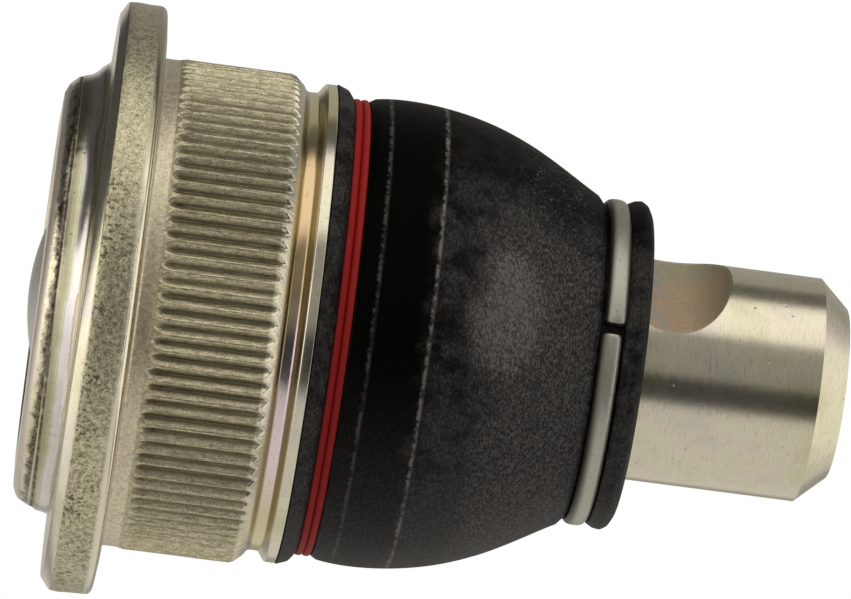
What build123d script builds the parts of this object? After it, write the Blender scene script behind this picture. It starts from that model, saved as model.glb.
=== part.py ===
from build123d import *
import os
from math import radians, sqrt, tan

# Press-in suspension ball joint with a pinch-bolt stud, in millimetres.
# The origin is the swivel centre, the middle of the ball. +Z runs along the stud, out of the
# boot, and the joint stands on its cover plate. The pinch-bolt notch faces -Y.

# ball stud
ball_radius = 13.0
ball_flat_z = -12.3
neck_radius = 7.0
neck_fillet = 2.0
neck_end_z = 15.5
seal_seat_radius = 9.5
seal_seat_start_z = 20.5
seal_seat_end_z = 29.85
shank_radius = 9.0
shank_start_z = 30.3
stud_end_z = 46.9
end_chamfer_width = 2.1
end_chamfer_length = 2.3

# pinch-bolt notch, a round cut across the shank
notch_depth = 2.3
notch_radius = 5.75
notch_z = 32.5

# housing: rolled lip, boss and flange
lip_radius = 17.6
lip_inner_radius = 13.2
lip_face_z = -17.4
lip_inner_round = 0.4
lip_bevel_start_radius = 16.0
lip_bevel_drop = 0.25
lip_round = 2.7
lip_round_end_z = -15.75
lip_step = 0.15
boss_radius = 17.65
boss_fillet = 0.8
flange_radius = 23.7
flange_back_z = -14.15
flange_chamfer = 1.0
flange_rim_z = -12.75
flange_draft = 0.1
flange_waist = 0.08
flange_front_round = 0.6
flange_seat_z = -9.85
flange_seat_outer_radius = 21.5
flange_seat_fall = 0.23
land_fillet = 0.35

# housing: press band, retaining ring groove, collar and boot seat
land_radius = 19.5
land_end_z = -8.55
band_radius = 19.62
band_start_z = -7.95
band_end_z = 0.35
lead_round = 0.85
lead_chamfer_radius = 19.45
lead_chamfer_z = 0.8
groove_radius = 18.5
groove_start_z = 1.9
groove_end_z = 2.6
collar_radius = 19.2
collar_start_z = 3.1
collar_end_z = 4.1
collar_break = 0.05
boot_seat_radius = 16.3
bead_radius = 16.9
bead_start_z = 6.8
bead_bevel = 0.3
mouth_z = 7.8

# serrations of the press band, a ring of V grooves that run out towards the flange
serration_count = 100
serration_depth = 0.5
serration_angle = 90.0
serration_direction = 1.4
serration_start_z = -8.45
serration_run_out = 1.1
cutter_overshoot = 0.6

# housing, inside
cover_bore_radius = 15.9
shell_bore_radius = 15.4
cone_start_z = 1.2
throat_radius = 12.9
throat_z = 6.6
mouth_flare = 0.6

# cover plate
cover_thickness = 2.0
cover_face_z = -16.0
cover_edge_break = 0.2
dome_apex_z = -18.05
dome_radius = 17.0

# bearing shell
ball_clearance = 0.05
seat_clearance = 0.02
shell_top_z = 6.3
shell_mouth_z = 5.2
shell_mouth_radius = 12.45
grease_hole_radius = 5.0
slot_count = 6
slot_width = 1.2
slot_floor_z = -1.5
grease_groove_radius = 0.6

# dust boot, and the outlines of its belly and its neck lip as radius and height
boot_gap = 0.05
boot_lip_radius = 19.25
boot_lip_shoulder = (18.9, 5.08)
boot_end_z = 30.25
boot_throat_z = 24.3
belly_start = (18.15, 6.86)
belly_outside = ((18.5, 7.4), (18.7, 10.4), (18.0, 15.8), (16.1, 20.9), (14.34, 24.05), (13.26, 25.95))
belly_valley = (12.7, 26.42)
neck_lip_outside = ((12.9, 28.12), (13.25, 28.9), (13.35, 29.5), (13.0, 29.95), (12.4, 30.25))
belly_inside = ((10.6, 23.6), (12.7, 22.6), (14.6, 20.2), (16.4, 15.5), (17.15, 10.4), (17.05, 7.5))

# boot base ring, flat wire wound twice
base_ring_inner_radius = 17.35
base_ring_outer_radius = 18.32
base_ring_start_z = 5.55
base_ring_end_z = 6.81
base_ring_turns = 2
base_ring_corner = 0.2
base_ring_turn_lap = 0.02

# boot neck ring, an open ring of half-round wire
neck_ring_inner_radius = 12.1
neck_ring_outer_radius = 13.13
neck_ring_start_z = 26.6
neck_ring_end_z = 28.02
neck_ring_crown = 0.45
neck_ring_gap_angle = 3.0
neck_ring_gap_direction = -41.1

os.makedirs("parts", exist_ok=True)


def finish(piece, name):
    piece.part.label = name
    export_step(piece.part, f"parts/{name}.step")


# ball stud: one forging with ball, neck, seal seat and clamping shank

fillet_centre_radius = neck_radius + neck_fillet
fillet_centre_z = sqrt((ball_radius + neck_fillet) ** 2 - fillet_centre_radius**2)
ball_share = ball_radius / (ball_radius + neck_fillet)
ball_end = (fillet_centre_radius * ball_share, fillet_centre_z * ball_share)
ball_flat_radius = sqrt(ball_radius**2 - ball_flat_z**2)

with BuildPart() as ball_stud:
    with BuildSketch(Plane.XZ):
        with BuildLine():
            flat = Line((0, ball_flat_z), (ball_flat_radius, ball_flat_z))
            ball = ThreePointArc(flat @ 1, (ball_radius, 0), ball_end)
            neck = RadiusArc(ball @ 1, (neck_radius, fillet_centre_z), -neck_fillet)
            Polyline(
                neck @ 1,
                (neck_radius, neck_end_z),
                (seal_seat_radius, seal_seat_start_z),
                (seal_seat_radius, seal_seat_end_z),
                (shank_radius, shank_start_z),
                (shank_radius, stud_end_z - end_chamfer_length),
                (shank_radius - end_chamfer_width, stud_end_z),
                (0, stud_end_z),
                flat @ 0,
            )
        make_face()
    revolve(axis=Axis.Z)

    # the round notch that the pinch bolt passes through, across the shank's -Y side
    with BuildSketch(Plane.YZ):
        with Locations((notch_depth - shank_radius - notch_radius, notch_z)):
            Circle(notch_radius)
    extrude(amount=2 * shank_radius, both=True, mode=Mode.SUBTRACT)

finish(ball_stud, "ball_stud")

# cutter for one serration: a V groove that reaches past the lead chamfer, and whose root
# rises to the surface at the flange end

serration_root_radius = band_radius - serration_depth
cutter_radius = band_radius + cutter_overshoot
cutter_half_width = (cutter_radius - serration_root_radius) * tan(radians(serration_angle / 2))
full_depth_z = serration_start_z + serration_run_out
cutter_tip_z = full_depth_z - serration_run_out * (serration_depth + cutter_overshoot) / serration_depth

with BuildPart() as serration_cutter:
    with BuildSketch(Plane.XY.offset(full_depth_z)) as groove_section:
        with BuildLine():
            Polyline(
                (serration_root_radius, 0),
                (cutter_radius, -cutter_half_width),
                (cutter_radius, cutter_half_width),
                close=True,
            )
        make_face()
    extrude(amount=groove_end_z - full_depth_z)
    loft(sections=[groove_section.face(), Vertex(cutter_radius, 0, cutter_tip_z)])

# housing: one revolved wall from the rolled lip to the mouth, then the serrations

lip_edge_z = lip_face_z + lip_inner_round
lip_edge_radius = lip_inner_radius + lip_inner_round
rim_front_radius = flange_radius - flange_waist
flange_face_radius = flange_radius - flange_draft - flange_chamfer

with BuildPart() as housing:
    with BuildSketch(Plane.XZ):
        with BuildLine():
            # rolled lip, and the step that the rolling tool leaves
            lip_bore = Line((lip_inner_radius, cover_face_z), (lip_inner_radius, lip_edge_z))
            lip_edge = RadiusArc(lip_bore @ 1, (lip_edge_radius, lip_face_z), -lip_inner_round)
            lip_face = Line(lip_edge @ 1, (lip_bevel_start_radius, lip_face_z + lip_bevel_drop))
            lip_side = RadiusArc(lip_face @ 1, (lip_radius - lip_step, lip_round_end_z), -lip_round)
            boss = Polyline(
                lip_side @ 1,
                (lip_radius, lip_round_end_z + lip_step / 2),
                (boss_radius, flange_back_z - boss_fillet),
            )
            boss_root = RadiusArc(boss @ 1, (boss_radius + boss_fillet, flange_back_z), boss_fillet)
            # flange: chamfered back edge, slightly drafted rim, rounded front edge, flat seat
            rim = Polyline(
                boss_root @ 1,
                (flange_face_radius, flange_back_z),
                (flange_radius - flange_draft, flange_back_z + flange_chamfer),
                (flange_radius, flange_rim_z),
                (rim_front_radius, flange_seat_z - flange_seat_fall - flange_front_round),
            )
            rim_front = RadiusArc(
                rim @ 1,
                (rim_front_radius - flange_front_round, flange_seat_z - flange_seat_fall),
                -flange_front_round,
            )
            seat = Polyline(
                rim_front @ 1,
                (flange_seat_outer_radius, flange_seat_z),
                (land_radius + land_fillet, flange_seat_z),
            )
            seat_root = RadiusArc(seat @ 1, (land_radius, flange_seat_z + land_fillet), land_fillet)
            # press band with its lead chamfer
            band = Polyline(
                seat_root @ 1,
                (land_radius, land_end_z),
                (band_radius, band_start_z),
                (band_radius, band_end_z),
            )
            lead = RadiusArc(band @ 1, (lead_chamfer_radius, lead_chamfer_z), -lead_round)
            # retaining ring groove, collar, boot seat and the bead that keeps the boot on
            boot_seat = Polyline(
                lead @ 1,
                (groove_radius, groove_start_z),
                (groove_radius, groove_end_z),
                (collar_radius - collar_break, collar_start_z),
                (collar_radius, collar_start_z + 2 * collar_break),
                (collar_radius - collar_break, collar_end_z),
                (boot_seat_radius, collar_end_z),
                (boot_seat_radius, bead_start_z),
                (bead_radius, bead_start_z + bead_bevel),
                (bead_radius, mouth_z - bead_bevel),
                (bead_radius - bead_bevel, mouth_z),
            )
            # mouth, throat, cone for the shell, bore, recess for the cover plate
            Polyline(
                boot_seat @ 1,
                (throat_radius + mouth_flare, mouth_z),
                (throat_radius, mouth_z - mouth_flare),
                (throat_radius, throat_z),
                (shell_bore_radius, cone_start_z),
                (shell_bore_radius, cover_face_z + cover_thickness),
                (cover_bore_radius, cover_face_z + cover_thickness),
                (cover_bore_radius, cover_face_z),
                lip_bore @ 0,
            )
        make_face()
    revolve(axis=Axis.Z)
    with PolarLocations(0, serration_count, start_angle=serration_direction):
        add(serration_cutter.part, mode=Mode.SUBTRACT)

finish(housing, "housing")

# cover plate: flat rim under the rolled lip, domed middle

dome_centre_z = dome_apex_z + dome_radius
inner_dome_radius = dome_radius - cover_thickness
cover_back_z = cover_face_z + cover_thickness
cover_radius = cover_bore_radius - seat_clearance
outer_root = (sqrt(dome_radius**2 - (cover_face_z - dome_centre_z) ** 2), cover_face_z)
inner_root = (sqrt(inner_dome_radius**2 - (cover_back_z - dome_centre_z) ** 2), cover_back_z)

with BuildPart() as cover_plate:
    with BuildSketch(Plane.XZ):
        with BuildLine():
            outer_dome = RadiusArc((0, dome_apex_z), outer_root, -dome_radius)
            Polyline(
                outer_dome @ 1,
                (cover_radius - cover_edge_break, cover_face_z),
                (cover_radius, cover_face_z + cover_edge_break),
                (cover_radius, cover_back_z),
                inner_root,
            )
            inner_dome = RadiusArc(inner_root, (0, dome_apex_z + cover_thickness), inner_dome_radius)
            Line(inner_dome @ 1, outer_dome @ 0)
        make_face()
    revolve(axis=Axis.Z)

finish(cover_plate, "cover_plate")

# bearing shell: plastic, snaps over the ball, with a slotted mouth and meridian grease grooves

socket_radius = ball_radius + ball_clearance
shell_radius = shell_bore_radius - seat_clearance
cone_slope = (shell_bore_radius - throat_radius) / (throat_z - cone_start_z)
shell_top_radius = shell_radius - (shell_top_z - cone_start_z) * cone_slope
socket_mouth = (sqrt(socket_radius**2 - shell_mouth_z**2), shell_mouth_z)
socket_floor = (grease_hole_radius, -sqrt(socket_radius**2 - grease_hole_radius**2))

with BuildPart() as bearing_shell:
    with BuildSketch(Plane.XZ):
        with BuildLine():
            outside = Polyline(
                socket_floor,
                (grease_hole_radius, cover_back_z),
                (shell_radius, cover_back_z),
                (shell_radius, cone_start_z),
                (shell_top_radius, shell_top_z),
                (shell_mouth_radius, shell_top_z),
                socket_mouth,
            )
            ThreePointArc(outside @ 1, (socket_radius, 0), outside @ 0)
        make_face()
    revolve(axis=Axis.Z)

    with BuildSketch(Plane.XY.offset(slot_floor_z)):
        with PolarLocations(0, slot_count // 2, angular_range=180):
            Rectangle(4 * shell_radius, slot_width)
    extrude(amount=shell_top_z - slot_floor_z, mode=Mode.SUBTRACT)

    for groove in range(slot_count // 2):
        groove_plane = Plane.XY.rotated((0, 0, (groove + 0.5) * 360 / slot_count))
        with BuildSketch(groove_plane):
            with Locations((socket_radius, 0)):
                Circle(grease_groove_radius)
        revolve(axis=Axis((0, 0, 0), groove_plane.y_dir), mode=Mode.SUBTRACT)

finish(bearing_shell, "bearing_shell")

# dust boot: hollow rubber gaiter with a base lip, ring notches at both ends and a stiff neck lip

base_start_z = collar_end_z + boot_gap
base_notch_radius = base_ring_inner_radius - boot_gap
neck_notch_radius = neck_ring_inner_radius - boot_gap
seal_bore_radius = seal_seat_radius + boot_gap
shoulder_slope = (seal_seat_radius - shank_radius) / (shank_start_z - seal_seat_end_z)
shoulder_gap = boot_gap * sqrt(1 + shoulder_slope**2)
lip_bore_radius = shank_radius + (shank_start_z - boot_end_z) * shoulder_slope + shoulder_gap
seal_bore_end_z = boot_end_z - (seal_bore_radius - lip_bore_radius) / shoulder_slope

with BuildPart() as dust_boot:
    with BuildSketch(Plane.XZ):
        with BuildLine():
            # base lip over the collar, and the notch for the base ring
            Polyline(
                (boot_seat_radius + boot_gap, base_start_z),
                (boot_lip_radius, base_start_z),
                boot_lip_shoulder,
                (base_ring_outer_radius, base_ring_start_z - boot_gap),
                (base_notch_radius, base_ring_start_z - boot_gap),
                (base_notch_radius, base_ring_end_z + boot_gap),
                belly_start,
                belly_outside[0],
            )
            Spline(*belly_outside)
            # neck, and the notch for the neck ring
            Polyline(
                belly_outside[-1],
                belly_valley,
                (neck_notch_radius, neck_ring_start_z - boot_gap),
                (neck_notch_radius, neck_ring_end_z + boot_gap),
                neck_lip_outside[0],
            )
            Spline(*neck_lip_outside)
            # flat end, and the bore that follows the stud's shoulder and grips its seal seat
            Polyline(
                neck_lip_outside[-1],
                (lip_bore_radius, boot_end_z),
                (seal_bore_radius, seal_bore_end_z),
                (seal_bore_radius, boot_throat_z),
                belly_inside[0],
            )
            Spline(*belly_inside)
            # bead recess, and the bore that grips the housing
            Polyline(
                belly_inside[-1],
                (bead_radius + boot_gap, bead_start_z + boot_gap),
                (boot_seat_radius + boot_gap, bead_start_z - boot_gap),
                (boot_seat_radius + boot_gap, base_start_z),
            )
        make_face()
    revolve(axis=Axis.Z)

finish(dust_boot, "dust_boot")

# boot base ring: the turns lie on each other and show as two rounded bands

turn_height = (base_ring_end_z - base_ring_start_z) / base_ring_turns
base_ring_width = base_ring_outer_radius - base_ring_inner_radius
base_ring_middle_z = (base_ring_start_z + base_ring_end_z) / 2

with BuildPart() as boot_base_ring:
    with BuildSketch(Plane.XZ):
        with Locations((base_ring_inner_radius + base_ring_width / 2, base_ring_middle_z)):
            with GridLocations(0, turn_height, 1, base_ring_turns):
                RectangleRounded(base_ring_width, turn_height + base_ring_turn_lap, base_ring_corner)
    revolve(axis=Axis.Z)

finish(boot_base_ring, "boot_base_ring")

# boot neck ring: crowned outside, open by a small gap

ring_start = Plane.XZ.rotated((0, 0, neck_ring_gap_direction + neck_ring_gap_angle / 2))
crown_start_radius = neck_ring_outer_radius - neck_ring_crown
crown_middle = (neck_ring_outer_radius, (neck_ring_start_z + neck_ring_end_z) / 2)

with BuildPart() as boot_neck_ring:
    with BuildSketch(ring_start):
        with BuildLine():
            back = Polyline(
                (crown_start_radius, neck_ring_start_z),
                (neck_ring_inner_radius, neck_ring_start_z),
                (neck_ring_inner_radius, neck_ring_end_z),
                (crown_start_radius, neck_ring_end_z),
            )
            ThreePointArc(back @ 1, crown_middle, back @ 0)
        make_face()
    revolve(axis=Axis.Z, revolution_arc=360 - neck_ring_gap_angle)

finish(boot_neck_ring, "boot_neck_ring")
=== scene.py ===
import bpy
import numpy as np
from math import cos, pi, radians, sin
from mathutils import Matrix, Vector


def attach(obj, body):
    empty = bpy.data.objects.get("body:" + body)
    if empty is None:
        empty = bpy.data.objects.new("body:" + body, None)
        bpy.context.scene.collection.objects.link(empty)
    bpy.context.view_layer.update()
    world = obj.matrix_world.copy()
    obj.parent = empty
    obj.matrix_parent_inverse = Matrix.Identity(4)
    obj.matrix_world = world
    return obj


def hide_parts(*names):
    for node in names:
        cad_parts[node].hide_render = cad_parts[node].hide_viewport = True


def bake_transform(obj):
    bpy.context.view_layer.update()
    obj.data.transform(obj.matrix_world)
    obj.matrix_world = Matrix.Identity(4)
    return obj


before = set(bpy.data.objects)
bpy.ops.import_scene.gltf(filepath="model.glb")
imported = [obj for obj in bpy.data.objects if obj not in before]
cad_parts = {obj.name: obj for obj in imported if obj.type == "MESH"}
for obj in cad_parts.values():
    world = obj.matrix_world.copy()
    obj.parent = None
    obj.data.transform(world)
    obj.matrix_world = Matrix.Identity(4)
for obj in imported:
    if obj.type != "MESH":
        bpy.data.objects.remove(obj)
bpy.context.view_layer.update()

mm = 0.001
for spare in ("Cube", "Light", "Camera"):
    if spare in bpy.data.objects:
        bpy.data.objects.remove(bpy.data.objects[spare])
print("frame loaded:", sorted(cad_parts))

# lookAngle and lift say where the viewer stands round the stud and roll turns the picture, in degrees.
# The aim is a point beside the stud's axis, in millimetres.
shot = dict(
    lookAngle=-28.3, lift=-3.76, roll=7.5, distance=524.87, aimHeight=13.37, aimShift=3.19,
    focalPixels=6580.0, pictureWidth=851, sensor=36.0, near=0.01, far=20,
)

# the three directions that the camera, the studio and the housing share
toViewer = Vector((cos(radians(shot["lookAngle"])), sin(radians(shot["lookAngle"])), 0))
alongStud = Vector((0, 0, 1))
pictureUp = toViewer.cross(alongStud)


def makeCamera():
    lift, roll = radians(shot["lift"]), radians(shot["roll"])
    back = toViewer * cos(lift) + alongStud * sin(lift)
    right = alongStud * cos(lift) - toViewer * sin(lift)
    rolledRight = right * cos(roll) + pictureUp * sin(roll)
    rolledUp = pictureUp * cos(roll) - right * sin(roll)
    spot = (alongStud * shot["aimHeight"] + pictureUp * shot["aimShift"] + back * shot["distance"]) * mm
    data = bpy.data.cameras.new("camera")
    data.sensor_width = shot["sensor"]
    data.sensor_fit = "HORIZONTAL"
    data.lens = shot["focalPixels"] * shot["sensor"] / shot["pictureWidth"]
    data.clip_start, data.clip_end = shot["near"], shot["far"]
    cam = bpy.data.objects.new("camera", data)
    bpy.context.scene.collection.objects.link(cam)
    turn = Matrix((rolledRight, rolledUp, back)).transposed().to_4x4()
    cam.matrix_world = Matrix.Translation(spot) @ turn
    bpy.context.scene.camera = cam


makeCamera()
print("camera placed")


def operator(operation):
    return lambda self, other: self.combine(operation, other)


class Wire:
    # a value socket that adds a Math node for each operator used on it
    __add__ = __radd__ = operator("ADD")
    __sub__ = operator("SUBTRACT")
    __mul__ = __rmul__ = operator("MULTIPLY")
    __truediv__ = operator("DIVIDE")
    __pow__ = operator("POWER")

    def __init__(self, recipe, socket):
        self.recipe = recipe
        self.socket = socket

    def __rsub__(self, other):
        return self.recipe.add("Math", [other, self], operation="SUBTRACT")

    def combine(self, operation, *others):
        return self.recipe.add("Math", [self, *others], operation=operation)

    def clamped(self):
        return self.recipe.add("Clamp", [self, 0.0, 1.0])

    def step(self, low, high):
        # 0 below low, 1 above high, smooth between them; low may be the larger one
        ends = (low, high, 0.0, 1.0) if low <= high else (high, low, 1.0, 0.0)
        return self.recipe.add("MapRange", [self, *ends], interpolation_type="SMOOTHSTEP", clamp=True)

    def edge(self, place, soft):
        # 0 before place and 1 after it, blurred by soft at each side; a soft below 0 turns it round
        return self.step(place - soft, place + soft)

    def within(self, low, high, soft):
        # 1 between low and high, falling to 0 over the last soft of the inside at each end
        return self.step(low, low + soft) * self.step(high, high - soft)


def tone(colour):
    # a colour given as 0 to 255 on screen, as the linear values that a shader takes
    return tuple((value / 255) ** 2.2 for value in colour)


class Recipe:
    # one material, or the world, whose nodes all come from add()

    def __init__(self, name, kind="materials"):
        self.material = getattr(bpy.data, kind).new(name)
        self.material.use_nodes = True
        self.tree = self.material.node_tree
        self.tree.nodes.clear()

    def add(self, kind, values=(), output=0, **settings):
        # values are the inputs' links or numbers, by place or by name; settings are the node's own
        node = self.tree.nodes.new("ShaderNode" + kind)
        for key, value in settings.items():
            if key == "stops":
                while len(node.color_ramp.elements) < len(value):
                    node.color_ramp.elements.new(0.5)
                for element, (place, colour) in zip(node.color_ramp.elements, value):
                    element.position = place
                    element.color = (*tone(colour), 1)
            else:
                setattr(node, key, value)
        pairs = values.items() if isinstance(values, dict) else enumerate(values)
        for key, value in pairs:
            if value is None:
                continue
            socket = node.inputs[key]
            if isinstance(value, Wire):
                self.tree.links.new(value.socket, socket)
            elif socket.type == "RGBA":
                socket.default_value = (*tone(value), 1)
            else:
                socket.default_value = value
        return Wire(self, node.outputs[output]) if node.outputs else None

    def place(self):
        # the point on the piece, in millimetres: x, y, z, the distance from the stud's axis and a vector
        here = self.add("TexCoord", output="Object")
        x, y, z = (self.add("SeparateXYZ", [here], output=k) * (1 / mm) for k in range(3))
        return x, y, z, (x * x + y * y) ** 0.5, self.vector(x, y, z)

    def vector(self, x, y, z):
        return self.add("CombineXYZ", [x, y, z])

    def noise(self, vector, scale, detail, rough):
        values = {"Vector": vector, "Scale": scale, "Detail": detail, "Roughness": rough}
        return self.add("TexNoise", values)

    def mix(self, share, first, second):
        return self.add("Mix", {0: share, 6: first, 7: second}, output=2, data_type="RGBA")

    def ramp(self, value, stops):
        return self.add("ValToRGB", [value], stops=stops)

    def layered(self, colour, *layers):
        # each layer is (share, colour) and lies over those before it
        for share, tint in layers:
            colour = self.mix(share, colour, tint)
        return colour

    def bumps(self, *layers):
        # each layer is (height, depth in millimetres, strength) and adds to those before it
        normal = None
        for height, depth, strength in layers:
            values = {"Strength": strength, "Distance": depth * mm, "Height": height, "Normal": normal}
            normal = self.add("Bump", values)
        return normal

    def finish(self, **sockets):
        # underscores stand for spaces in the Principled shader's socket names
        values = {key.replace("_", " "): value for key, value in sockets.items()}
        shader = self.add("BsdfPrincipled", values)
        self.add("OutputMaterial", [shader])
        return self.material


def roundedPath(corners, stepLength, closed=True, arcDegrees=22):
    # corners are (radius, height, rounding). Each corner becomes the curve (1-t)^2 start + 2t(1-t) corner
    # + t^2 end, which is tangent to both its sides and takes at most sideShare of the shorter one, and
    # each side is cut into equal steps.
    sideShare = 0.45
    spots = np.array([c[:2] for c in corners], float)
    count = len(spots)
    path = []
    for k, (spot, rounding) in enumerate(zip(spots, [c[2] for c in corners])):
        before = spots[k - 1] if closed or k else spot
        after = spots[(k + 1) % count] if closed or k < count - 1 else spot
        inward, outward = before - spot, after - spot
        lengthIn, lengthOut = np.hypot(*inward), np.hypot(*outward)
        if rounding == 0 or lengthIn == 0 or lengthOut == 0:
            path.append(spot[None])
            continue
        inward, outward = inward / lengthIn, outward / lengthOut
        halfTurn = np.arccos(np.clip(-inward @ outward, -1, 1)) / 2
        arcSteps = int(np.ceil(np.degrees(2 * halfTurn) / arcDegrees))
        if arcSteps < 2:
            path.append(spot[None])
            continue
        cut = min(rounding * np.tan(halfTurn), sideShare * min(lengthIn, lengthOut))
        share = np.linspace(0, 1, arcSteps + 1)[:, None]
        start, end = spot + inward * cut, spot + outward * cut
        path.append((1 - share) ** 2 * start + 2 * share * (1 - share) * spot + share**2 * end)
    pieces = []
    for k, arc in enumerate(path):
        pieces.append(arc)
        if k == len(path) - 1 and not closed:
            break
        start, end = arc[-1], path[(k + 1) % len(path)][0]
        steps = int(np.ceil(np.hypot(*(end - start)) / stepLength))
        share = np.linspace(0, 1, steps + 1)[1:-1, None]
        pieces.append(start + (end - start) * share)
    return np.concatenate([p for p in pieces if len(p)])


def ripple(angle, height, seed, turns, waves, count=14):
    # a sum of cosines cos(n angle + q height + phase) with whole n up to turns and q up to waves per
    # millimetre, so it closes on itself round the axis; its size is about 1
    rng = np.random.default_rng(seed)
    total = np.zeros(np.broadcast(angle, height).shape)
    for _ in range(count):
        n = rng.integers(-turns, turns + 1)
        q = rng.uniform(-waves, waves) * 2 * pi
        total = total + np.cos(n * angle + q * height + rng.uniform(0, 2 * pi))
    return total * (2 / count) ** 0.5


def ringMesh(name, rings, layers, closed=True, capped=True, sharpAt=180):
    # every new piece is a stack of closed rings round the stud's axis, each an array of points in
    # millimetres. Rings of as many points are joined by quads; where the next ring has a whole multiple
    # of them, by fans of triangles. A stack that isn't closed gets a flat face at each end, unless it is
    # an open sheet. Edges that turn by over sharpAt degrees stay sharp.
    counts = np.array([len(r) for r in rings])
    firsts = np.concatenate([[0], np.cumsum(counts)])
    loops, totals = [], []
    for a in range(len(rings) if closed else len(rings) - 1):
        b = (a + 1) % len(rings)
        few, many = min(counts[a], counts[b]), max(counts[a], counts[b])
        ratio = many // few
        if ratio == 1:
            here = np.arange(few)
            there = (here + 1) % few
            quads = np.stack([firsts[a] + here, firsts[a] + there, firsts[b] + there, firsts[b] + here], 1)
            loops.append(quads.ravel())
            totals.append(np.full(few, 4))
            continue
        coarse, fine = (a, b) if counts[a] < counts[b] else (b, a)
        here = np.arange(many)
        there = (here + 1) % many
        nearest = ((here + ratio // 2) // ratio) % few
        nearestNext = ((here + 1 + ratio // 2) // ratio) % few
        fans = np.stack([firsts[coarse] + nearest, firsts[fine] + there, firsts[fine] + here], 1)
        stepped = nearest != nearestNext
        gaps = np.stack([nearest, nearestNext, there], 1)[stepped]
        gaps = gaps + np.array([firsts[coarse], firsts[coarse], firsts[fine]])
        triangles = np.concatenate([fans, gaps])
        if coarse == b:
            triangles = triangles[:, ::-1]
        loops.append(triangles.ravel())
        totals.append(np.full(len(triangles), 3))
    if capped and not closed:
        loops += [np.arange(counts[0])[::-1], firsts[-2] + np.arange(counts[-1])]
        totals.append(counts[[0, -1]])
    points = np.concatenate(rings) * mm
    corners = np.concatenate(loops).astype(np.int32)
    sizes = np.concatenate(totals).astype(np.int32)
    starts = np.concatenate([[0], np.cumsum(sizes)[:-1]]).astype(np.int32)
    mesh = bpy.data.meshes.new(name)
    mesh.vertices.add(len(points))
    mesh.vertices.foreach_set("co", points.astype(np.float32).ravel())
    mesh.loops.add(len(corners))
    mesh.loops.foreach_set("vertex_index", corners)
    mesh.polygons.add(len(sizes))
    mesh.polygons.foreach_set("loop_start", starts)
    mesh.update(calc_edges=True)
    mesh.validate()
    for key, values in layers.items():
        layer = mesh.attributes.new(key, "FLOAT", "POINT")
        layer.data.foreach_set("value", np.concatenate(values).astype(np.float32))
    mesh.shade_smooth()
    mesh.set_sharp_from_angle(angle=radians(sharpAt))
    piece = bpy.data.objects.new(name, mesh)
    bpy.context.scene.collection.objects.link(piece)
    return piece


def ring(radius, height, angle):
    # x = radius cos(angle), y = radius sin(angle), z = height
    radius, height, angle = np.broadcast_arrays(radius, height, angle)
    return np.stack([radius * np.cos(angle), radius * np.sin(angle), height], 1)


# radii, and heights from the swivel centre, in millimetres
housing = dict(
    lipInner=13.2, lipFace=-17.4, lipInnerRound=0.4, lipBevels=((15.8, -17.24, 1.0), (16.55, -16.9, 1.2)),
    ledgeStart=-16.25, ledgeEnd=-15.9, ledge=((17.16, -16.25, 0), (17.18, -16.13, 0), (17.2, -16.02, 0)),
    ledgeRough=0.012, ledgeTilt=0.42,
    bossStart=17.3, boss=17.66, bossFillet=0.8, topFillet=0.42, filletReach=0.8,
    flange=23.64, flangeSwell=0.06, flangeBack=-13.95, flangeCrown=-12.6, flangeFall=-11.4,
    backTilt=0.24, backReach=0.8, backHeight=1.6, backChamfer=(1.0, 0.7), forgedDepth=0.021,
    flangeFront=-10.08, frontRound=0.95, seatRim=21.5, seat=-9.85, land=19.5, landEnd=-8.55,
    band=19.63, bandStart=-8.0, runOutEnd=-7.2, bandRow=-6.8, bandEnd=0.42,
    chamfer=19.48, chamferStart=0.8, chamferFoot=18.88,
    chamferEnd=1.47, wallFoot=18.46, wallEnd=1.74, groove=18.38, grooveStart=1.95, grooveEnd=2.68,
    collar=19.2, collarStart=3.26, collarEnd=4.1,
    bootSeat=16.3, bead=16.9, beadStart=6.8, mouth=7.8, throat=12.9, throatStart=6.6, bore=15.4,
    coneStart=1.2, coverSeat=15.9, coverFace=-16.0, coverBack=-14.0,
    stepLength=0.7, hiddenStep=4.0, softEdge=0.16,
)
serration = dict(
    count=100, direction=1.4, depth=0.46, lift=0.08, rootRound=0.07, edgeRound=0.045,
    start=-8.45, runOut=1.2, startSpread=0.09, depthSpread=0.035, fold=0.055, foldWidth=0.032,
    rough=0.012, seed=7,
    columns=(0, 0.03, 0.1, 0.2, 0.3, 0.37, 0.42, 0.465, 0.5, 0.535, 0.58, 0.63, 0.7, 0.8, 0.9, 0.97),
)


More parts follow.
